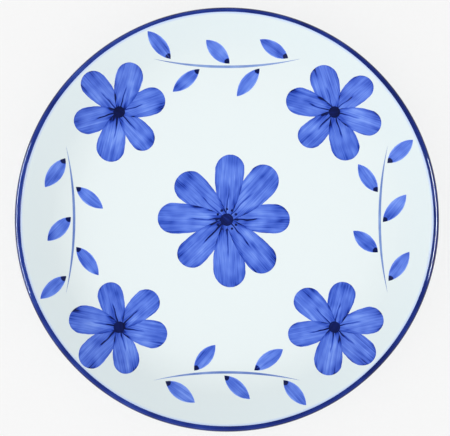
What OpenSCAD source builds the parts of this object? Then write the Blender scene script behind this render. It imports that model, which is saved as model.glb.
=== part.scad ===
// Bread and butter plate: a coupe plate of white glazed ware on a foot ring, with a
// cobalt band on the lip and brushed cobalt flowers fired into the glaze.
// The plate stands on the plane z = 0, centred on the Z axis. Units are millimetres.

/* [Plate body] */
// Diameter over the glazed lip
plate_d = 165; // [150:1:190]
// Height from the tread of the foot to the top of the glazed lip
plate_h = 19; // [16:0.5:24]
// Diameter of the flat well
well_d = 110; // [96:1:120]
// Radius of the curve out of the well, as a share of the largest that the wall has room for
curve_share = 0.76; // [0.5:0.02:0.96]
// Thickness of the fired clay under the well
base_t = 4; // [3:0.1:6]
// Thickness of the rounded lip, glaze included
lip_t = 2.8; // [2.2:0.1:3.6]
// Swell of the rounded lip beyond the wall, on each face
lip_roll = 0.1; // [0.05:0.05:0.3]

/* [Foot ring] */
// Outer diameter of the tread that the plate stands on
foot_d = 106; // [92:1:112]
// Width of the tread
foot_w = 4; // [3:0.1:6]
// Height of the foot ring
foot_h = 3; // [2:0.1:5]
// Widening of the ring on each side, from the tread to the base
foot_flare = 0.8; // [0.2:0.1:1.5]
// Bevel on both edges of the tread
tread_bevel = 0.5; // [0.2:0.1:0.8]

/* [Glaze] */
// Thickness of the fired glaze
glaze_t = 0.3; // [0.2:0.05:0.5]
// Height of the foot that is wiped bare before the firing
bare_h = 1; // [0.8:0.1:1.5]

/* [Brushed colour] */
// Thickness of one coat of cobalt
paint_t = 0.2; // [0.12:0.02:0.3]
// Width of the band on the lip, seen from above
band_w = 1.9; // [1.4:0.1:2.4]
// Thickness of the band, which is laid on with a fuller brush
band_t = 0.35; // [0.3:0.01:0.5]
// Drop of the band on the outer face, below the centre of the lip
band_drop = 0.6; // [0:0.1:1]
// White line left between the band and the flowers on the rim
band_gap = 0.9; // [0.7:0.1:3]
// Most that a petal or a leaf strays from its place, in degrees
hand_sway = 3; // [0:0.5:5]
// Most that a petal or a leaf differs from its size, as a share
hand_vary = 0.05; // [0:0.01:0.1]

/* [Centre flower] */
// Diameter over the petals
bloom_d = 52; // [36:1:60]
// Number of petals
bloom_petals = 8; // [6:1:10]
// Width of a petal
bloom_petal_w = 12; // [8:0.5:14]
// Diameter of the dark eye
eye_d = 5; // [3:0.5:8]
// Number of dots round the eye
eye_dots = 12; // [8:1:16]
// Diameter of a dot
dot_d = 1; // [0.6:0.1:1.4]
// Gap between the eye and its dots
dot_gap = 1.1; // [0.6:0.1:2]

/* [Border flowers] */
// Number of flowers on the wall, with a garland between each two
border_flowers = 4; // [3:1:5]
// Diameter over the petals
flower_d = 38; // [28:1:42]
// Number of petals
flower_petals = 6; // [5:1:8]
// Width of a petal
flower_petal_w = 10.5; // [8:0.5:12]
// Diameter of the dark eye
flower_eye_d = 4.5; // [3:0.5:6]

/* [Garlands] */
// Distance from the lip to the middle of the stem
garland_in = 22.5; // [18:0.5:26]
// Length of the stem, from end to end
stem_l = 58; // [46:1:62]
// Width of the brushed stem at its middle
stem_w = 1; // [0.6:0.1:1.6]
// Sag of the stem towards the middle of the plate
stem_sag = 3; // [2:0.5:8]
// Leaves along a stem, on both sides in turn
garland_leaves = 5; // [3:1:6]
// Length of a leaf
leaf_l = 13.5; // [9:0.5:15]
// Width of a leaf
leaf_w = 5.4; // [3:0.2:7]
// Angle between a leaf and the stem
leaf_turn = 42; // [30:1:60]
// Gap between a leaf and the middle line of the stem
leaf_gap = 1.2; // [0.9:0.1:2]

/* [Hidden] */
$fn = 180;

clay = "ivory";
white_glaze = "aliceblue";
cobalt = "royalblue";
dark_cobalt = "midnightblue";
pale_cobalt = "cornflowerblue";

// Lengths to a thousandth of a millimetre, so that faces that meet stay in one plane.
function neat(x) = round(x * 1000) / 1000;

plate_r = plate_d / 2;
well_r = well_d / 2;
well_z = foot_h + base_t;

// The lip is a round bead. Its centre and its radius in bare clay
lip_r = lip_t / 2 - glaze_t;
lip_x = plate_r - lip_t / 2;
lip_z = plate_h - lip_t / 2;
lip = [lip_x, lip_z];

// The wall leaves the well level, on a curve, and runs straight to the lip. It spans this far
run = lip_x - well_r;

// Its faces pass the centre of the lip at this distance, one above it and one below
wall_end = lip_r - lip_roll;

// The straight part cuts this far into the curve, so that they meet in a faint break
wall_break = 0.03;

// Radius of a face's curve. At a share of 1 the curve would run all the way to the lip
function curve_r(level, beside) =
    let (rise = lip_z - level)
    neat(curve_share * (run * run + rise * rise - beside * beside) / (2 * (rise + beside)));

// Slope of a face's straight part, in degrees, and the way square to it, out through the foot
function slope(level, radius, beside) =
    let (fall = level + radius - lip_z)
    asin((radius - wall_break + beside) / norm([run, fall])) - atan2(fall, run);
function square_to(turn) = [sin(turn), -cos(turn)];

flare_r = curve_r(well_z, wall_end);
flare_mid = [well_r, well_z + flare_r];
flare_way = square_to(slope(well_z, flare_r, wall_end));
under_r = curve_r(foot_h, -wall_end);
under_mid = [well_r, foot_h + under_r];
under_way = square_to(slope(foot_h, under_r, -wall_end));

// The foot ring reaches up into the base by this share of the base's thickness
foot_root = foot_h + base_t / 2;
foot_out = foot_d / 2;
foot_in = foot_out - foot_w;

// The brushwork on the wall ends short of the band, and the longest petal would just reach there
border_r = plate_r - band_w - band_gap;
flower_r = border_r - flower_d / 2 * (1 + hand_vary);

// A brush wavers: a value from -1 to 1 for stroke number k, the same each time it is drawn
golden_angle = 137.5;
function waver(k) = sin(golden_angle * (k + 0.3));
function sway(k) = hand_sway * waver(k);
function vary(k) = 1 + hand_vary * waver(k + 7);

// Half section of the plate, grown by a coat of the given thickness on all but the tread
module plate_section(coat = 0) {
    translate([0, foot_h - coat]) square([well_r, base_t + 2 * coat]);
    wall_section(coat);
    translate(lip) circle(lip_r + coat);
    foot_section(coat);
}

// Everything above a face of the wall: a disc over its curve, and a slab over its straight part
module above_face(mid, radius, way) {
    bend = mid + (radius - wall_break) * way;
    out = plate_r * [-way.y, way.x];
    translate(mid) circle(radius);
    polygon([mid, bend, bend + out, mid + out]);
}

// The wall between its two faces, from the edge of the well to the centre of the lip
module wall_section(coat) {
    beyond = 2 * lip_t * flare_way;
    intersection() {
        difference() {
            above_face(under_mid, under_r + coat, under_way);
            above_face(flare_mid, flare_r - coat, flare_way);
        }
        polygon([[well_r, -plate_h], lip + beyond, lip - beyond, [well_r, plate_h]]);
    }
}

// The foot ring, widening from its bevelled tread to the base
module foot_section(coat) {
    wide = foot_flare + coat;
    polygon([
        [foot_in + tread_bevel, 0],
        [foot_out - tread_bevel, 0],
        [foot_out + coat, tread_bevel],
        [foot_out + wide, foot_root],
        [foot_in - wide, foot_root],
        [foot_in - coat, tread_bevel]
    ]);
}

// A coat that lies on the upper face, from the middle of the well almost to the lip
module coat_section(from, to) {
    translate([0, well_z + from]) square([well_r, to - from]);
    intersection() {
        difference() {
            above_face(flare_mid, flare_r - from, flare_way);
            above_face(flare_mid, flare_r - to, flare_way);
        }
        translate([well_r, 0]) square([border_r - well_r, plate_h]);
    }
}

// Brushes a flat outline onto the upper face: coat number 1 lies on the glaze, 2 on coat 1
module brushed(coat_number = 1) {
    from = glaze_t + (coat_number - 1) * paint_t;
    intersection() {
        rotate_extrude() coat_section(from, from + paint_t);
        linear_extrude(plate_h) children();
    }
}

// A pointed stroke along +X, as two arcs draw it
module stroke(length, width) {
    arc_r = neat((length * length / 4 + width * width / 4) / width);
    intersection() {
        translate([length / 2, arc_r - width / 2]) circle(arc_r);
        translate([length / 2, width / 2 - arc_r]) circle(arc_r);
    }
}

// A petal along +X: a stroke that starts in a point and ends in a round tip, a touch wider
module petal(length, width) {
    tip_swell = 1.02;
    round_x = length - width / 2;
    intersection() {
        stroke(2 * round_x, width);
        translate([0, -width]) square([round_x, 2 * width]);
    }
    translate([round_x, 0]) circle(d = width * tip_swell);
}

// Petals set round a point, each a little off in place and size
module flower(count, across, width, start, first) {
    for (k = [0:count - 1])
        rotate(k * 360 / count + sway(first + k))
            translate([-start, 0])
                petal(start + across / 2 * vary(first + k), width * vary(first + k + 3));
}

module plate_body() {
    color(clay) rotate_extrude() plate_section();
}

module glaze_coat() {
    color(white_glaze) rotate_extrude() difference() {
        plate_section(glaze_t);
        plate_section();
        translate([0, bare_h - plate_h]) square([plate_r, plate_h]);
    }
}

module rim_band() {
    color(dark_cobalt) rotate_extrude() intersection() {
        difference() {
            translate(lip) circle(lip_r + glaze_t + band_t);
            plate_section(glaze_t);
        }
        translate([plate_r - band_w, lip_z - band_drop]) square([2 * band_w, 2 * lip_t]);
    }
}

module centre_flower() {
    color(cobalt) brushed()
        flower(bloom_petals, bloom_d, bloom_petal_w, eye_d / 4, 0);
}

module centre_eye() {
    color(dark_cobalt) brushed(2) {
        circle(d = eye_d);
        for (k = [0:eye_dots - 1])
            rotate(k * 360 / eye_dots)
                translate([eye_d / 2 + dot_gap + dot_d / 2, 0]) circle(d = dot_d);
    }
}

// Turns an outline drawn round the origin to the place of border flower number i
module at_flower(i) {
    rotate((i - 0.5) * 360 / border_flowers) translate([flower_r, 0]) children();
}

module border_flower(i) {
    color(cobalt) brushed() intersection() {
        circle(border_r);
        at_flower(i) flower(flower_petals, flower_d, flower_petal_w, flower_eye_d / 4, 10 * i);
    }
}

module border_eye(i) {
    color(dark_cobalt) brushed(2) at_flower(i) circle(d = flower_eye_d);
}

// Radius of an arc over the length of a stem, with the given sag
function stem_arc(sag) = (stem_l * stem_l / 4 + sag * sag) / (2 * sag);

// Radius of the arc that a stem follows, how far along X its centre lies, and half its turn
stem_r = stem_arc(stem_sag);
stem_x = plate_r - garland_in + stem_r;
stem_turn = asin(stem_l / 2 / stem_r);

// Turns an outline drawn along +X to the place of garland number i
module at_garland(i) {
    rotate(i * 360 / border_flowers) children();
}

// A stem is a crescent: two arcs through the same ends, one hanging lower than the other. The
// brush lifts off just before each end
module garland_stem(i) {
    lift = stem_w;
    low = stem_sag + stem_w / 2;
    high = stem_sag - stem_w / 2;
    ends_x = plate_r - garland_in + stem_sag;
    color(pale_cobalt) brushed() at_garland(i) intersection() {
        difference() {
            translate([ends_x - low + stem_arc(low), 0]) circle(stem_arc(low));
            translate([ends_x - high + stem_arc(high), 0]) circle(stem_arc(high));
        }
        translate([ends_x - 2 * low, lift - stem_l / 2]) square([2 * low, stem_l - 2 * lift]);
    }
}

module garland_leaves(i) {
    step = 2 * stem_turn / garland_leaves;
    color(cobalt) brushed() at_garland(i) for (k = [0:garland_leaves - 1]) {
        along = -stem_turn + (k + 0.3) * step;
        side = k % 2 == 0 ? 1 : -1;
        translate([stem_x - stem_r * cos(along), stem_r * sin(along)])
            rotate(90 - along - side * leaf_turn + sway(k + 5 * i))
                translate([leaf_gap / sin(leaf_turn), 0])
                    stroke(leaf_l * vary(k + 3 * i), leaf_w * vary(k + 2 * i));
    }
}

plate_body();
glaze_coat();
rim_band();
centre_flower();
centre_eye();
for (i = [1:border_flowers]) {
    border_flower(i);
    border_eye(i);
    garland_stem(i);
    garland_leaves(i);
}
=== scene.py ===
"""Bread and butter plate: a white glazed coupe plate with a cobalt band and brushed flowers.

Everything is in metres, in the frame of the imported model: the plate stands on z = 0 and its
axis is Z. Each painted stroke is a thin closed film that lies on the glazed upper face.
"""

import bpy
import numpy as np
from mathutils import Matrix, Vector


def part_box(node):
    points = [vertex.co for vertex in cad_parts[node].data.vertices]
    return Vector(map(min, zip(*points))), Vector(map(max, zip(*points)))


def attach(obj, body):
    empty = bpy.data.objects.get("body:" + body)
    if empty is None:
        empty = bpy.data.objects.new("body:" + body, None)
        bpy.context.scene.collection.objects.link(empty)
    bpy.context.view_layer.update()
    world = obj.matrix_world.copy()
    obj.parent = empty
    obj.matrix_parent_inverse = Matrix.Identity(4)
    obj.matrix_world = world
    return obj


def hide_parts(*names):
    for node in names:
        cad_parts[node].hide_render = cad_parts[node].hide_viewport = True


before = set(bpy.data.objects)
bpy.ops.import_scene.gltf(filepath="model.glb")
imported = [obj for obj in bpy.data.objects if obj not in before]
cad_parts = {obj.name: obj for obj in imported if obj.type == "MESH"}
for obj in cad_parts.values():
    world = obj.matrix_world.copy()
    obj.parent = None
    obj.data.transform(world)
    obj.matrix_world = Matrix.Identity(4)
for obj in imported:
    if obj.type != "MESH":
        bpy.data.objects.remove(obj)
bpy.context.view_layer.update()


# Clay body
# White earthenware, pressed to its profile on a turning wheel, with a foot ring trimmed below.
# Glaze hides all of it but the tread of the foot, which is wiped bare before the firing.
plate_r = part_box("glaze_coat")[1].x
plate_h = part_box("glaze_coat")[1].z
well_r = 0.055
curve_share = 0.76
base_t = 0.004
lip_t = 0.0028
glaze_t = 0.0003
foot_h = 0.003
foot_out = 0.053
foot_in = 0.049
foot_flare = 0.0008
foot_root = foot_h + base_t / 2
tread_bevel = 0.0005
bare_h = 0.001
cove_w = 0.0012
lip_x = plate_r - lip_t / 2
lip_z = plate_h - lip_t / 2
clay_lip_r = lip_t / 2 - glaze_t
clay_well_z = foot_h + base_t

# Points round the plate, and on each stretch of its half section
turn_steps = 288
level_steps = 6
flare_steps = 16
wall_steps = 5
lip_steps = 16
under_steps = 12
cove_steps = 5
side_steps = 2


def arc(centre_r, centre_z, radius, start, stop, steps):
    """Points on a circle of the half section, from one angle to another, counted from +r."""
    turn = np.linspace(start, stop, steps)
    return np.column_stack([centre_r + radius * np.cos(turn), centre_z + radius * np.sin(turn)])


def line(start, stop, steps):
    """Evenly spaced points on a straight line of the half section."""
    share = np.linspace(0, 1, steps)[:, None]
    return (1 - share) * np.array(start) + share * np.array(stop)


def cove(start, corner, stop, steps):
    """A rounded corner: the parabola that leaves one side and meets the other along them."""
    share = np.linspace(0, 1, steps)[:, None]
    leave = (1 - share) ** 2 * np.array(start)
    meet = share**2 * np.array(stop)
    return leave + 2 * share * (1 - share) * np.array(corner) + meet


def wall_face(level, beside):
    """Radius of the curve by which a face of the wall leaves its level, and its slope beyond.

    The face runs straight on from the curve and passes the centre of the lip at the distance
    beside, above it or, if that is negative, below it. The radius is a share of the largest at
    which that can be, and the slope is that of the line that touches both circles.
    """
    run = lip_x - well_r
    rise = lip_z - level
    radius = curve_share * (run**2 + rise**2 - beside**2) / (2 * (rise + beside))
    fall = radius - rise
    slope = np.arcsin((radius + beside) / np.hypot(run, fall)) - np.arctan2(fall, run)
    return radius, slope


flare_r, flare_slope = wall_face(clay_well_z, clay_lip_r)
under_r, under_slope = wall_face(foot_h, -clay_lip_r)


def foot_side(height, edge, coat):
    """Radius of a side of the foot at a height: it leans out from the tread to the base."""
    lean = (height - tread_bevel) / (foot_root - tread_bevel)
    way = 1 if edge == foot_out else -1
    return edge + way * (coat + foot_flare * lean)


def upper_line(coat, detail):
    """Half section from the middle of the well over the lip to the bare part of the foot.

    It is level, curved, straight, round the lip, straight, curved and level again under the
    wall, and it ends in a cove and the leaning side of the foot. A coat moves it outwards, and
    detail multiplies its points.
    """
    under_z = foot_h - coat
    well = line((0, clay_well_z + coat), (well_r, clay_well_z + coat), level_steps * detail)
    low = -np.pi / 2
    flare_z = clay_well_z + flare_r
    flare = arc(well_r, flare_z, flare_r - coat, low, low + flare_slope, flare_steps * detail)
    lip_r = clay_lip_r + coat
    lip = arc(lip_x, lip_z, lip_r, flare_slope - low, under_slope + low, lip_steps * detail)
    under_mid = foot_h + under_r
    under = arc(well_r, under_mid, under_r + coat, low + under_slope, low, under_steps * detail)
    corner = (foot_side(under_z, foot_out, coat), under_z)
    side_z = under_z - cove_w
    side = (foot_side(side_z, foot_out, coat), side_z)
    rounded = cove(under[-1], corner, side, cove_steps * detail)
    foot = line(side, (foot_side(bare_h, foot_out, coat), bare_h), side_steps * detail)
    wall = line(flare[-1], lip[0], wall_steps * detail)[1:-1]
    return np.concatenate([well, flare[1:], wall, lip, under, rounded[1:], foot[1:]])


def under_line(coat, detail):
    """Half section from the bare part of the foot up its inner side to the middle of the base."""
    under_z = foot_h - coat
    corner = (foot_side(under_z, foot_in, coat), under_z)
    side_z = under_z - cove_w
    side = (foot_side(side_z, foot_in, coat), side_z)
    foot = line((foot_side(bare_h, foot_in, coat), bare_h), side, side_steps * detail)
    rounded = cove(side, corner, (corner[0] - cove_w, under_z), cove_steps * detail)
    base = line(rounded[-1], (0, under_z), level_steps * detail)
    return np.concatenate([foot, rounded[1:], base[1:]])


def turned(section):
    """Turns a half section that starts and ends on the axis round it: points and faces.

    Row by row the points are (r cos a, r sin a, z), and one point stands on the axis at each
    end. The section runs clockwise round the material, so that the faces look outwards.
    """
    angle = np.arange(turn_steps) * 2 * np.pi / turn_steps
    reach = section[1:-1, 0][:, None]
    height = np.repeat(section[1:-1, 1][:, None], turn_steps, axis=1)
    rings = np.stack([reach * np.cos(angle), reach * np.sin(angle), height], axis=-1)
    ends = np.array([[0, 0, section[0, 1]], [0, 0, section[-1, 1]]])
    points = np.concatenate([rings.reshape(-1, 3), ends])
    index = np.arange(height.size).reshape(height.shape)
    after = np.roll(index, -1, axis=1)
    quads = np.stack([index[:-1], index[1:], after[1:], after[:-1]], axis=-1).reshape(-1, 4)
    first = np.full(turn_steps, index.size)
    opening = np.stack([first, index[0], after[0]], axis=-1)
    closing = np.stack([index[-1], first + 1, after[-1]], axis=-1)
    return points, quads.tolist() + opening.tolist() + closing.tolist()


def new_piece(name, points, faces, material, crease=40):
    """A smooth-shaded mesh object at the origin, with edges past the crease angle kept crisp."""
    mesh = bpy.data.meshes.new(name)
    mesh.from_pydata(points, [], faces)
    mesh.shade_smooth()
    mesh.set_sharp_from_angle(angle=np.radians(crease))
    mesh.materials.append(material)
    made = bpy.data.objects.new(name, mesh)
    bpy.context.scene.collection.objects.link(made)
    return made


def tone(red, green, blue):
    """An RGBA colour in linear light, by the sRGB curve, from the 0 to 255 that a screen shows."""
    shown = np.array([red, green, blue]) / 255
    linear = np.where(shown <= 0.04045, shown / 12.92, ((shown + 0.055) / 1.055) ** 2.4)
    return (*linear.tolist(), 1.0)


class Wire:
    """A socket of a node tree: operators on it add Math nodes, node() adds any other node."""

    def __init__(self, tree, socket=None):
        self.tree = tree
        self.socket = socket

    def node(self, kind, settings=None, sockets=None, out=0):
        """Adds a node of a kind: its settings first, then values or links of its sockets."""
        made = self.tree.nodes.new(kind)
        for key, value in (settings or {}).items():
            if key == "stops":
                stops = made.color_ramp.elements
                for place, colour in value[1:-1]:
                    stops.new(place).color = colour
                stops[0].position, stops[0].color = value[0]
                stops[-1].position, stops[-1].color = value[-1]
            else:
                setattr(made, key, value)
        for key, value in (sockets or {}).items():
            if isinstance(value, Wire):
                self.tree.links.new(value.socket, made.inputs[key])
            else:
                made.inputs[key].default_value = value
        return Wire(self.tree, made.outputs[out] if made.outputs else None)

    def out(self, name):
        """Another output of the node that this socket is on."""
        return Wire(self.tree, self.socket.node.outputs[name])

    def math(self, operation, *values):
        """A Math node on values or wires."""
        return self.node("ShaderNodeMath", {"operation": operation}, dict(enumerate(values)))

    def __add__(self, other):
        return self.math("ADD", self, other)

    __radd__ = __add__

    def __sub__(self, other):
        return self.math("SUBTRACT", self, other)

    def __rsub__(self, other):
        return self.math("SUBTRACT", other, self)

    def __mul__(self, other):
        return self.math("MULTIPLY", self, other)

    __rmul__ = __mul__

    def __pow__(self, other):
        return self.math("POWER", self, other)

    def __abs__(self):
        return self.math("ABSOLUTE", self)

    def ease(self, low, high):
        """A mask that rises smoothly from 0 at the low value to 1 at the high one."""
        sockets = {"Value": self, "From Min": low, "From Max": high}
        return self.node("ShaderNodeMapRange", {"interpolation_type": "SMOOTHSTEP"}, sockets)

    def blend(self, first, second):
        """A colour between two, by this mask."""
        return self.node("ShaderNodeMix", {"data_type": "RGBA"}, {0: self, 6: first, 7: second}, 2)

    def parts(self):
        """The X, Y and Z of this vector."""
        split = self.node("ShaderNodeSeparateXYZ", {}, {0: self})
        return split.out("X"), split.out("Y"), split.out("Z")

    def stretch(self, x, y, z):
        """This vector with its parts multiplied."""
        return self.node("ShaderNodeVectorMath", {"operation": "MULTIPLY"}, {0: self, 1: (x, y, z)})

    def noise(self, scale, detail=2.0):
        """Noise from 0 to 1 at this place, mostly near 0.5."""
        sockets = {"Vector": self, "Scale": scale, "Detail": detail}
        return self.node("ShaderNodeTexNoise", {}, sockets)


def new_material(name):
    """An empty node material, with a wire to start its tree from."""
    material = bpy.data.materials.new(name)
    material.use_nodes = True
    material.node_tree.nodes.clear()
    return material, Wire(material.node_tree)


def fired(tree, colour, roughness, height, depth):
    """Ends a material in a shader of fired ware, with a relief of the given depth."""
    relief = tree.node("ShaderNodeBump", {}, {"Strength": 1.0, "Distance": depth, "Height": height})
    sockets = {"Base Color": colour, "Roughness": roughness, "Normal": relief, "IOR": 1.5}
    shader = tree.node("ShaderNodeBsdfPrincipled", {}, sockets)
    tree.node("ShaderNodeOutputMaterial", {}, {"Surface": shader})


clay_pale = tone(236, 231, 220)
clay_stained = tone(214, 205, 190)
clay_speck = tone(188, 178, 162)
grain_per_m = 1800.0
stain_per_m = 120.0
stain_span = (0.35, 0.75)
speck_span = (0.62, 0.72)
clay_rough = 0.75
clay_rough_vary = 0.2
clay_relief = 0.00006
bare_clay, tree = new_material("bare_clay")
place = tree.node("ShaderNodeTexCoord").out("Object")
grain = place.noise(grain_per_m, detail=4.0)
stain = place.noise(stain_per_m, detail=3.0)
clay_colour = stain.ease(*stain_span).blend(clay_pale, clay_stained)
clay_colour = grain.ease(*speck_span).blend(clay_colour, clay_speck)
fired(tree, clay_colour, clay_rough + clay_rough_vary * (grain - 0.5), grain, clay_relief)

tread = np.array(
    [
        (foot_out, tread_bevel),
        (foot_out - tread_bevel, 0),
        (foot_in + tread_bevel, 0),
        (foot_in, tread_bevel),
    ]
)
body_section = np.concatenate([upper_line(0, 1), tread, under_line(0, 1)])
clay_body = new_piece("clay_body", *turned(body_section), bare_clay)
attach(clay_body, "root")
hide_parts("plate_body")


# Glaze
# A clear, faintly blue-green glass, fused to the whole plate in a second firing. It runs down to
# the bare tread on both sides of the foot and gathers a little where the wall leaves the well. Its
# colour
# also holds painted shade: darker in that curve, and a little darker up the wall towards the lip.
# Along the rim band it takes up a blush of the cobalt.
glaze_white = tone(238, 247, 248)
glaze_pool_shade = tone(234, 244, 245)
glaze_wall_shade = tone(232, 243, 245)
glaze_blush = tone(192, 213, 255)
pool_shade_full = well_r + 0.008
pool_shade_fade = well_r + 0.012
pool_shade_least = 0.2
pool_shade_cloud = 0.6
wall_shade_from = 0.06
wall_shade_to = 0.078
band_w = 0.0019
blush_w = 0.0011
blush_under = 0.0002
blush_drop = 0.004
edge_rag = 0.0003
edge_per_m = 90.0
cloud_per_m = 28.0
peel_per_m = 420.0
peel_relief = 0.000012
glaze_rough = 0.06
glaze_rough_vary = 0.05
skin_detail = 3


def band_wander(x, y):
    """How far the band's inner edge wanders, in radians on the lip, at a place on the unit circle.

    It is a sum of waves of one, two and three to the turn, written with its cosine and sine.
    """
    once = 0.03 * x + 0.12 * y
    twice = 0.1 * (x * x - y * y)
    thrice = 0.06 * y * (3 - 4 * y * y)
    return 0.05 - once + twice + thrice


shiny_glaze, tree = new_material("shiny_glaze")
place = tree.node("ShaderNodeTexCoord").out("Object")
across, along, height = place.parts()
radius = (across * across + along * along) ** 0.5
cloud = place.noise(cloud_per_m, detail=3.0)
peel = place.noise(peel_per_m)
# Painted shade in the curve from the well, where the glaze also gathers: a darker, clouded tone
pool = radius.ease(well_r, pool_shade_full) * (1 - radius.ease(pool_shade_fade, plate_r))
glaze_colour = (pool * (pool_shade_least + pool_shade_cloud * cloud)).blend(glaze_white, glaze_pool_shade)
# Painted shade: the glaze turns a little darker up the wall towards the lip
glaze_colour = radius.ease(wall_shade_from, wall_shade_to).blend(glaze_colour, glaze_wall_shade)
wander = band_wander(across * (1 / plate_r), along * (1 / plate_r))
band_edge = plate_r - band_w - lip_t / 2 * wander + edge_rag * (place.noise(edge_per_m) - 0.5)
on_lip = height.ease(lip_z - blush_drop, lip_z)
blush = (radius - band_edge).ease(-blush_w, blush_under) * on_lip
glaze_colour = blush.blend(glaze_colour, glaze_blush)
fired(tree, glaze_colour, glaze_rough + glaze_rough_vary * cloud, peel, peel_relief)

skin = np.concatenate([upper_line(glaze_t, skin_detail), upper_line(0, 1)[::-1]])
base_skin = np.concatenate([under_line(0, 1)[::-1], under_line(glaze_t, skin_detail)])
skin_points, skin_faces = turned(skin)
base_points, base_faces = turned(base_skin)
base_faces = [[corner + len(skin_points) for corner in face] for face in base_faces]
glaze_skin = new_piece(
    "glaze_skin",
    np.concatenate([skin_points, base_points]),
    skin_faces + base_faces,
    shiny_glaze,
)
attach(glaze_skin, "root")
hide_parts("glaze_coat")


# A line of dark cobalt on the rounded lip, laid by a loaded brush while the plate turns on a
# banding wheel. Its inner edge wanders a little and the colour thins as the brush runs dry. Its
# colour is painted lighter towards the left, and painted shade darkens it on the outside of the
# lip.
band_t = 0.00016
band_edge_t = 0.00001
band_sunk = 0.00005
band_drop = 0.0006
band_steps = 26
drag_per_m = 2640.0
load_per_m = 75.0
edge_share = 0.4
band_relief = 0.000004
band_rough = 0.05
band_rough_vary = 0.04

# Depth of the band's colour, and what the bristles, the load of the brush and the place add to it.
# By place it is denser at the inner edge, lighter towards the left by painted light, and darker on
# the outside of the lip by painted shade
band_depth = 0.25
drag_weight = 1.1
load_weight = 1.2
right_side_shade_weight = 0.3
inner_weight = 0.15
outer_lip_shade_weight = 0.5
band_stops = [
    (0.0, tone(60, 88, 174)),
    (0.35, tone(34, 56, 144)),
    (0.65, tone(21, 38, 116)),
    (1.0, tone(9, 22, 80)),
]


def band_points():
    """A closed ring on the lip: its section goes over the lip's circle and back inside it.

    A point's angle on the lip runs from the inner edge, which wanders with the turn and has
    small ripples, to the outer edge, which does so less, a third of a turn later. The film is
    thickest between the edges and thin at both.
    """
    lip_r = clay_lip_r + glaze_t
    turn = np.arange(turn_steps)[:, None] * 2 * np.pi / turn_steps
    wander = band_wander(np.cos(turn), np.sin(turn))
    wander = wander + 0.02 * np.sin(8 * turn + 2.1) + 0.015 * np.sin(19 * turn)
    inner = np.arccos((plate_r - band_w - lip_x) / lip_r) + wander
    outer = -np.arcsin(band_drop / lip_r) + 0.6 * np.roll(wander, turn_steps // 3, axis=0)
    share = np.linspace(0, 1, band_steps)[None, :]
    lean = inner + (outer - inner) * share
    film = band_edge_t + band_t * (1 - (2 * share - 1) ** 6)
    lean = np.concatenate([lean, lean[:, ::-1]], axis=1)
    film = np.concatenate([film, np.full_like(film, -band_sunk)], axis=1)
    reach = lip_x + (lip_r + film) * np.cos(lean)
    height = lip_z + (lip_r + film) * np.sin(lean)
    return np.stack([reach * np.cos(turn), reach * np.sin(turn), height], axis=-1)


def looped(rows):
    """Faces of a grid that closes on itself both ways."""
    index = np.arange(rows.shape[0] * rows.shape[1]).reshape(rows.shape[:2])
    over = np.roll(index, -1, axis=1)
    after = np.roll(index, -1, axis=0)
    both = np.roll(over, -1, axis=0)
    return np.stack([index, over, both, after], axis=-1).reshape(-1, 4).tolist()


banded_cobalt, tree = new_material("banded_cobalt")
place = tree.node("ShaderNodeTexCoord").out("Object")
across, along, height = place.parts()
radius = (across * across + along * along) ** 0.5
ring = place.node("ShaderNodeCombineXYZ", {}, {0: radius, 1: height})
drag = ring.noise(drag_per_m)
load = place.noise(load_per_m, detail=3.0)
# Painted light: the band is lighter towards the left, where the tent is brighter, darker to the
# right
right_side_shade = across.ease(-plate_r, plate_r)
inner_r = plate_r - band_w
inner_edge = 1 - radius.ease(inner_r, inner_r + edge_share * band_w)
# Painted shade: the band is darker on the outside of the lip, in place of a dark reflection there
outer_lip_shade = radius.ease(plate_r - edge_share * band_w, plate_r)
depth = band_depth + drag_weight * (drag - 0.5) + load_weight * (load - 0.5)
depth = depth + right_side_shade_weight * right_side_shade + inner_weight * inner_edge + outer_lip_shade_weight * outer_lip_shade
band_colour = tree.node("ShaderNodeValToRGB", {"stops": band_stops}, {0: depth})
fired(tree, band_colour, band_rough + band_rough_vary * load, load, band_relief)

ring_points = band_points()
lip_band = new_piece("lip_band", ring_points.reshape(-1, 3), looped(ring_points), banded_cobalt)
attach(lip_band, "root")
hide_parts("rim_band")


# Centre flower
# Eight round petals in cobalt, each one stroke of a full brush from the tip to the middle. The
# bristles leave fine streaks, colour settles at the tip and the edges, and overlaps are darker.
bloom_r = 0.026
bloom_petals = 8
bloom_petal_w = 0.012
eye_d = 0.005
bloom_start = eye_d / 4
golden_angle = np.radians(137.5)
hand_sway = np.radians(3)
hand_vary = 0.05
bend_share = 0.03
edge_sway = 0.03

# Height of a film over the glaze at its edges, what its middle and each layer under it add to
# that, and its depth in the glaze
edge_t = 0.000008
film_t = 0.000006
layer_t = 0.000008
film_sunk = 0.00004
overlap_w = 0.0004
overlap_most = 1.5
stroke_rows = 72
stroke_columns = 28

# How far from its ends an outline starts and stops: a share of a half turn or, at the throat of
# a petal, of its side
point_cut = 0.04
dot_cut = 0.06
tip_cut = 0.03
throat_cut = 0.02

# Waves to the millimetre along and across a stroke, and how far apart two strokes' patterns lie
streak_waves = (0.06, 0.8, 1.0)
hair_waves = (0.1, 2.6, 1.0)
wash_waves = (0.16, 0.22, 1.0)
stroke_shift = 7.3

# What each adds to the depth of the colour
streak_weight = 0.9
hair_weight = 0.8
wash_weight = 1.1
overlap_weight = 0.2

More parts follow.
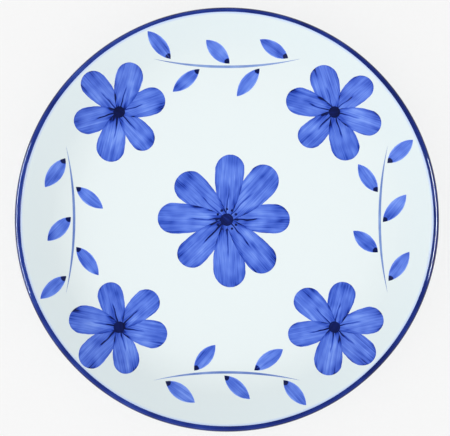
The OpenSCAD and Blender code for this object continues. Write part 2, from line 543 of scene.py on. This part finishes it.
# Where each mask rises, in shares of the half width or the length, or in millimetres
edge_span = (0.7, 1.0)
throat_span = (0.1, 0.5)
tip_span = (0.62, 1.0)
vein_end_span = (0.48, 0.6)
vein_span_mm = (0.12, 0.42)
vein_sway_mm = 1.8
drop_span_mm = (1.04, 1.56)
drop_sway_mm = 0.8
drop_in_mm = 0.9
brush_rough = 0.08
brush_rough_vary = 0.06
streak_relief = 0.000004
cobalt_stops = [
    (0.0, tone(128, 162, 250)),
    (0.25, tone(102, 137, 238)),
    (0.5, tone(82, 116, 223)),
    (0.75, tone(56, 90, 202)),
    (0.9, tone(28, 60, 170)),
    (0.97, tone(11, 37, 128)),
    (1.0, tone(9, 22, 80)),
]


def waver(number):
    """A value from -1 to 1 for a stroke's number, the same each time it is drawn."""
    return np.sin(golden_angle * (number + 0.3))


def vary(number):
    """The share by which a stroke's size differs."""
    return 1 + hand_vary * waver(number + 7)


def spun(x, y, turn):
    """A place on the plan turned about the axis: (x cos - y sin, x sin + y cos)."""
    return x * np.cos(turn) - y * np.sin(turn), x * np.sin(turn) + y * np.cos(turn)


def glaze_top(radius):
    """Height of the glazed upper face: level, on the curve, up the straight wall, on the lip."""
    curve_r = flare_r - glaze_t
    lip_r = clay_lip_r + glaze_t
    reach = curve_r * np.sin(flare_slope)
    wall_end = lip_x - lip_r * np.sin(flare_slope)
    on_curve = np.clip(radius - well_r, 0, reach)
    curve = clay_well_z + flare_r - np.sqrt(curve_r**2 - on_curve**2)
    wall = curve + np.clip(radius - well_r - reach, 0, None) * np.tan(flare_slope)
    lip = lip_z + np.sqrt(np.clip(lip_r**2 - (radius - lip_x) ** 2, 0, None))
    return np.where(radius < wall_end, wall, lip)


def lens(length, width):
    """Stations along a pointed stroke and its half widths, between two arcs of equal circles.

    The stations are closer towards the ends, and stop just short of the points.
    """
    arc_r = (length**2 / 4 + width**2 / 4) / width
    turn = np.linspace(point_cut, 1 - point_cut, stroke_rows) * np.pi
    station = length / 2 * (1 - np.cos(turn))
    return station, np.sqrt(arc_r**2 - (station - length / 2) ** 2) - arc_r + width / 2


def petal(length, width):
    """Stations along a petal and its half widths: half a lens, then a round tip."""
    round_x = length - width / 2
    rows = stroke_rows // 2
    side_r = (round_x**2 + width**2 / 4) / width
    side = np.linspace(throat_cut, 1, rows) * round_x
    side_half = np.sqrt(side_r**2 - (side - round_x) ** 2) - side_r + width / 2
    turn = np.linspace(0, 0.5 - tip_cut, stroke_rows - rows + 1)[1:] * np.pi
    tip = round_x + width / 2 * np.sin(turn)
    return np.append(side, tip), np.append(side_half, width / 2 * np.cos(turn))


def dot(across):
    """Stations along a round touch of the brush and its half widths: a circle."""
    turn = np.linspace(dot_cut, 1 - dot_cut, stroke_rows // 2) * np.pi
    return across / 2 * (1 - np.cos(turn)), across / 2 * np.sin(turn)


class Stroke:
    """One touch of the brush: an outline along +X, bent a little, turned and moved in place."""

    def __init__(self, outline, turn, origin, seed, layer=0):
        self.station, self.half = outline
        self.turn = turn
        self.origin = origin
        self.seed = seed
        self.layer = layer
        self.length = self.station[-1]
        self.bend = bend_share * self.length * waver(seed + 2)

    def sides(self):
        """Half widths of the two edges.

        Each edge sways in one slow wave, which grows along the stroke, and has two fine ones.
        """
        share = self.station / self.length
        left = 1 + edge_sway * np.sin(5.1 * share + 3 * self.seed) * share
        right = 1 + edge_sway * np.sin(6.3 * share + 5 * self.seed) * share
        ragged = 0.006 * np.sin(31 * share + self.seed) + 0.004 * np.sin(57 * share)
        return self.half * (left + ragged), self.half * (right - ragged)

    def spread(self):
        """The stroke's own grid: distance along it, distance across it, and side from -1 to 1."""
        side = np.sin(np.linspace(-0.5, 0.5, stroke_columns) * np.pi)[None, :]
        left, right = self.sides()
        across = side * np.where(side < 0, right[:, None], left[:, None])
        along = self.station[:, None] + 0 * side
        return along, across, side + 0 * along

    def ground(self, along, across):
        """The grid on the plan: bent with the square of the length, turned and moved."""
        x, y = spun(along, across + self.bend * (along / self.length) ** 2, self.turn)
        return self.origin[0] + x, self.origin[1] + y

    def covers(self, x, y):
        """From 0 outside this stroke's outline to 1 a little way inside it."""
        along, across = spun(x - self.origin[0], y - self.origin[1], -self.turn)
        across = across - self.bend * (along / self.length) ** 2
        half = np.interp(along, self.station, self.half, left=-1, right=-1)
        return np.clip((half - np.abs(across)) / overlap_w, 0, 1)

    def film(self, earlier):
        """Closed film of this stroke: points, faces, and what its colour is worked out from.

        The top lies on the glaze, highest along the middle and thin at the edges, and the
        bottom a little inside the glaze. brush is the place along and across the stroke in
        millimetres, and load is the share of its length, the side, and what lies under it.
        """
        along, across, side = self.spread()
        x, y = self.ground(along, across)
        level = glaze_top(np.hypot(x, y))
        swell = edge_t + self.layer * layer_t + film_t * (1 - side**4)
        top = np.stack([x, y, level + swell], axis=-1).reshape(-1, 3)
        bottom = np.stack([x, y, level - film_sunk], axis=-1).reshape(-1, 3)
        under = sum([stroke.covers(x, y) for stroke in earlier], 0 * x)
        under = np.clip(under, 0, overlap_most)
        brush = np.stack([along * 1000, across * 1000, 0 * x + stroke_shift * self.seed], axis=-1)
        load = np.stack([along / self.length, side, under], axis=-1)
        index = np.arange(x.size).reshape(x.shape)
        upper = [index[:-1, :-1], index[1:, :-1], index[1:, 1:], index[:-1, 1:]]
        upper = np.stack(upper, axis=-1).reshape(-1, 4)
        edge = [index[:-1, 0], index[-1, :-1], index[:0:-1, -1], index[0, :0:-1]]
        edge = np.concatenate(edge)
        after = np.roll(edge, -1)
        wall = np.stack([edge, edge + x.size, after + x.size, after], axis=-1)
        faces = np.concatenate([upper, upper[:, ::-1] + x.size, wall])
        twice = (2, 1)
        return (
            np.concatenate([top, bottom]),
            faces,
            np.tile(brush.reshape(-1, 3), twice),
            np.tile(load.reshape(-1, 3), twice),
        )


def painted(name, strokes, material):
    """One piece from strokes in the order they were laid, with their colour attributes."""
    films = [stroke.film(strokes[:number]) for number, stroke in enumerate(strokes)]
    starts = np.cumsum([0] + [len(film[0]) for film in films[:-1]])
    points = np.concatenate([film[0] for film in films])
    faces = np.concatenate([film[1] + start for film, start in zip(films, starts)])
    made = new_piece(name, points, faces.tolist(), material, crease=60)
    for number, attribute in ((2, "brush"), (3, "load")):
        values = np.concatenate([film[number] for film in films])
        layer = made.data.attributes.new(attribute, "FLOAT_VECTOR", "POINT")
        layer.data.foreach_set("vector", values.astype(np.float32).ravel())
    return made


def flower(petals, reach, width, start, first, centre=(0, 0), turn=0):
    """Petals set round a point, each a little off in place and size, the later ones on top.

    Each starts the given distance behind the point, so that the throats cross in the middle.
    """
    strokes = []
    for number in range(petals):
        lean = turn + number * 2 * np.pi / petals + hand_sway * waver(first + number)
        size = petal(start + reach * vary(first + number), width * vary(first + number + 3))
        origin = np.array(centre) - spun(start, 0, lean)
        strokes.append(Stroke(size, lean, origin, first + number, number))
    return strokes


def brushed_cobalt(name, stops, base, throat, tip, edge=0.2, vein=0.0, pool=0.0):
    """Cobalt laid by a brush: the depth of the colour at a place picks its tone from the stops.

    The depth is a base with streaks and hair lines along the stroke and a slow wash. The throat,
    the tip and the strokes that lie under it add to it, and the edges add to it or take from it.
    A vein is a thin line from the throat along the middle, drawn with the point of the brush, and
    a pool is the round drop of colour that gathers where the brush is set down.
    """
    material, tree = new_material(name)
    brush = tree.node("ShaderNodeAttribute", {"attribute_name": "brush"}).out("Vector")
    load = tree.node("ShaderNodeAttribute", {"attribute_name": "load"}).out("Vector")
    reach, across, _ = brush.parts()
    along, side, under = load.parts()
    streak = brush.stretch(*streak_waves).noise(1.0, detail=3.0)
    hair = brush.stretch(*hair_waves).noise(1.0)
    wash = brush.stretch(*wash_waves).noise(1.0, detail=1.0)
    depth = base + streak_weight * (streak - 0.5) + hair_weight * (hair - 0.5)
    depth = depth + wash_weight * (wash - 0.5)
    depth = depth + edge * abs(side).ease(*edge_span) + overlap_weight * under
    depth = depth + throat * (1 - along.ease(*throat_span)) + tip * along.ease(*tip_span)
    beside = abs(across + vein_sway_mm * (wash - 0.5))
    vein_line = (1 - beside.ease(*vein_span_mm)) * (1 - along.ease(*vein_end_span))
    ahead = reach - drop_in_mm
    away = (ahead * ahead + across * across) ** 0.5 + drop_sway_mm * (wash - 0.5)
    drop = 1 - away.ease(*drop_span_mm)
    depth = depth + vein * vein_line + pool * drop
    colour = tree.node("ShaderNodeValToRGB", {"stops": stops}, {0: depth})
    fired(tree, colour, brush_rough + brush_rough_vary * wash, streak, streak_relief)
    return material


petal_cobalt = brushed_cobalt(
    "petal_cobalt", cobalt_stops, base=0.39, throat=0.26, tip=0.24, vein=0.54
)
centre_petals = painted(
    "centre_petals", flower(bloom_petals, bloom_r, bloom_petal_w, bloom_start, 0), petal_cobalt
)
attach(centre_petals, "root")
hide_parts("centre_flower")


# Centre eye
# A round blot of thick dark cobalt over the throats of the petals, with a ring of small dots
# about it, each set down with the point of the brush.
eye_dots = 12
dot_d = 0.001
dot_gap = 0.0011
dot_ring = eye_d / 2 + dot_gap + dot_d / 2
eye_layer = bloom_petals + 1
touch_turn = 2.4
eye_stops = [
    (0.0, tone(34, 58, 154)),
    (0.5, tone(15, 30, 100)),
    (1.0, tone(8, 18, 68)),
]


def touch(across, centre, seed, layer):
    """A round touch of the brush about a point, turned by its seed."""
    turn = touch_turn * seed
    origin = np.array(centre) - spun(across / 2, 0, turn)
    return Stroke(dot(across), turn, origin, seed, layer)


eye_cobalt = brushed_cobalt("eye_cobalt", eye_stops, base=0.75, throat=0.1, tip=0.1)
eye_touches = [touch(eye_d, (0, 0), 1, eye_layer)]
for number in range(eye_dots):
    centre = spun(dot_ring, 0, number * 2 * np.pi / eye_dots)
    eye_touches.append(touch(dot_d * vary(number), centre, number, eye_layer))
centre_blot = painted("centre_blot", eye_touches, eye_cobalt)
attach(centre_blot, "root")
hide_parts("centre_eye")


# Border flowers and their eyes
# Four smaller flowers of six petals, in the same cobalt and by the same hand as the middle one.
# They reach from the edge of the well up the wall to the band, and each has a plain dark eye.
border_flowers = 4
band_gap = 0.0009
flower_reach = 0.019
flower_petals = 6
flower_petal_w = 0.0105
flower_eye_d = 0.0045
flower_start = flower_eye_d / 4
flower_r = plate_r - band_w - band_gap - flower_reach * (1 + hand_vary)
flower_eye_layer = flower_petals + 1

for number in range(1, border_flowers + 1):
    turn = (number - 0.5) * 2 * np.pi / border_flowers
    centre = spun(flower_r, 0, turn)
    petals = flower(
        flower_petals, flower_reach, flower_petal_w, flower_start, 10 * number, centre, turn
    )
    border_petals = painted(f"border_petals_{number}", petals, petal_cobalt)
    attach(border_petals, "root")
    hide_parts(f"border_flower_{number}")
    blot = [touch(flower_eye_d, centre, 20 + number, flower_eye_layer)]
    border_blot = painted(f"border_blot_{number}", blot, eye_cobalt)
    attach(border_blot, "root")
    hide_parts(f"border_eye_{number}")


# Garlands
# Between the flowers a thin pale stem hangs towards the well, drawn in one sweep with a nearly
# dry brush, and five leaves stand off it on both sides, each a press and lift of a full brush.
garland_in = 0.0225
stem_l = 0.058
stem_w = 0.001
stem_sag = 0.003
garland_leaves = 5
first_leaf = 0.3
leaf_l = 0.0135
leaf_w = 0.0054
leaf_turn = np.radians(42)
leaf_gap = 0.0012
stem_r = (stem_l**2 / 4 + stem_sag**2) / (2 * stem_sag)
stem_x = plate_r - garland_in + stem_r
stem_turn = np.arcsin(stem_l / 2 / stem_r)
pale_stops = [
    (0.0, tone(156, 184, 234)),
    (0.5, tone(112, 140, 206)),
    (1.0, tone(84, 112, 188)),
]


class Sweep(Stroke):
    """A stem: a stroke whose middle line is an arc about a point beyond the lip."""

    def ground(self, along, across):
        """The grid on the plan: along goes round the arc, across away from its centre."""
        bow = stem_turn * (2 * along / stem_l - 1)
        reach = stem_x - (stem_r + across) * np.cos(bow)
        return spun(reach, (stem_r + across) * np.sin(bow), self.turn)


def leaves(number):
    """The leaves of one garland: lenses that lean off the stem, to one side and the other."""
    strokes = []
    turn = number * 2 * np.pi / border_flowers
    step = 2 * stem_turn / garland_leaves
    for leaf in range(garland_leaves):
        bow = -stem_turn + (leaf + first_leaf) * step
        way = 1 if leaf % 2 == 0 else -1
        lean = np.pi / 2 - bow - way * leaf_turn + hand_sway * waver(leaf + 5 * number)
        out_x, out_y = spun(leaf_gap / np.sin(leaf_turn), 0, lean)
        root = spun(stem_x - stem_r * np.cos(bow) + out_x, stem_r * np.sin(bow) + out_y, turn)
        size = lens(leaf_l * vary(leaf + 3 * number), leaf_w * vary(leaf + 2 * number))
        strokes.append(Stroke(size, lean + turn, root, leaf + 5 * number))
    return strokes


stem_cobalt = brushed_cobalt("stem_cobalt", pale_stops, base=0.45, throat=0.0, tip=0.0)
leaf_cobalt = brushed_cobalt(
    "leaf_cobalt", cobalt_stops, base=0.42, throat=0.15, tip=0.2, edge=-0.4, pool=0.8
)
for number in range(1, border_flowers + 1):
    turn = number * 2 * np.pi / border_flowers
    sweep = Sweep(lens(stem_l, stem_w), turn, (0, 0), 40 + number)
    garland_sweep = painted(f"garland_sweep_{number}", [sweep], stem_cobalt)
    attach(garland_sweep, "root")
    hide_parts(f"garland_stem_{number}")
    leaf_strokes = painted(f"leaf_strokes_{number}", leaves(number), leaf_cobalt)
    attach(leaf_strokes, "root")
    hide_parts(f"garland_leaves_{number}")


# Floor, light and camera
# A pale sheet under the plate and a soft light tent, brighter overhead and towards the near left.
# The tent has a dark opening at the top, where the camera looks in, so that no gloss veils the
# paint, and two low strip lamps draw the fine lines of light along the lip.
floor_half = 3.0
floor_gap = 0.0002
floor_white = tone(247, 247, 247)
sheet_low = tone(246, 246, 246)
sheet_high = tone(248, 248, 248)
fibre_per_m = 900.0
floor_lift = 0.8

pale_sheet, tree = new_material("pale_sheet")
place = tree.node("ShaderNodeTexCoord").out("Object")
sheet_colour = place.noise(fibre_per_m).blend(sheet_low, sheet_high)
paper = tree.node("ShaderNodeBsdfDiffuse", {}, {"Color": sheet_colour})
lit = tree.node("ShaderNodeEmission", {}, {"Color": sheet_colour, "Strength": 1.0})
seen = tree.node("ShaderNodeLightPath").out("Is Camera Ray")
sheet = tree.node("ShaderNodeMixShader", {}, {0: floor_lift * seen, 1: paper, 2: lit})
tree.node("ShaderNodeOutputMaterial", {}, {"Surface": sheet})
corners = np.array([(-1, -1), (1, -1), (1, 1), (-1, 1)]) * floor_half
floor_points = np.column_stack([corners, np.full(4, -floor_gap)])
floor = new_piece("floor", floor_points, [[0, 1, 2, 3]], pale_sheet)

tent_level = 0.665
tent_top = 0.545
tent_near_left = 0.185
gloss_top = 0.08
gloss_side = 0.35
opening_from = 0.45
opening_to = 0.95
world = bpy.data.worlds.new("light_tent")
world.use_nodes = True
world.node_tree.nodes.clear()
tree = Wire(world.node_tree)
right, far, up = tree.node("ShaderNodeTexCoord").out("Generated").parts()
path = tree.node("ShaderNodeLightPath")
glow = tent_level + tent_top * up - tent_near_left * (right + far)
gloss = gloss_side - (gloss_side - gloss_top) * up.ease(opening_from, opening_to)
glow = glow * (1 - (1 - gloss) * path.out("Is Glossy Ray"))
tent = tree.node("ShaderNodeBackground", {}, {"Color": (1, 1, 1, 1), "Strength": glow})
backdrop = tree.node("ShaderNodeBackground", {}, {"Color": floor_white, "Strength": 1.0})
direct = path.out("Is Camera Ray") + path.out("Is Transmission Ray")
air = tree.node("ShaderNodeMixShader", {}, {0: direct, 1: tent, 2: backdrop})
tree.node("ShaderNodeOutputWorld", {}, {"Surface": air})
bpy.context.scene.world = world

# Each strip lamp's side of the plate, lean from upright in degrees, width, length and power
strips = {
    "left": (-1, 58, 0.0095, 0.12, 0.2),
    "right": (1, 37, 0.007, 0.08, 0.2),
}
strip_away = 0.085
strip_white = (0.84, 0.97, 1.0)
lit_by_strips = bpy.data.collections.new("lit_by_strips")
lit_by_strips.objects.link(lip_band)
for name, (way, degrees, strip_w, strip_l, strip_power) in strips.items():
    lamp = bpy.data.lights.new(f"strip_{name}", "AREA")
    lamp.shape = "RECTANGLE"
    lamp.size = strip_w
    lamp.size_y = strip_l
    lamp.energy = strip_power
    lamp.color = strip_white
    lean = np.radians(degrees)
    beside = way * (plate_r + strip_away * np.sin(lean))
    strip = bpy.data.objects.new(lamp.name, lamp)
    strip.location = (beside, 0, lip_z + strip_away * np.cos(lean))
    strip.rotation_euler = (0, way * lean, 0)
    strip.visible_camera = False
    strip.visible_diffuse = False
    strip.light_linking.receiver_collection = lit_by_strips
    bpy.context.scene.collection.objects.link(strip)

image_w = 450
plate_px = 424.4
offset_px = (1.9, 1.6)
camera_away = 1.2
band_reach = plate_r + band_t
pixel = 2 * band_reach / plate_px
camera_data = bpy.data.cameras.new("camera")
camera_data.lens = camera_data.sensor_width * camera_away / (image_w * pixel)
camera_data.clip_start = 0.05
camera_data.clip_end = 20.0
camera = bpy.data.objects.new("camera", camera_data)
camera.location = (-offset_px[0] * pixel, offset_px[1] * pixel, lip_z + camera_away)
bpy.context.scene.collection.objects.link(camera)
bpy.context.scene.camera = camera
bpy.context.scene.view_settings.view_transform = "Standard"
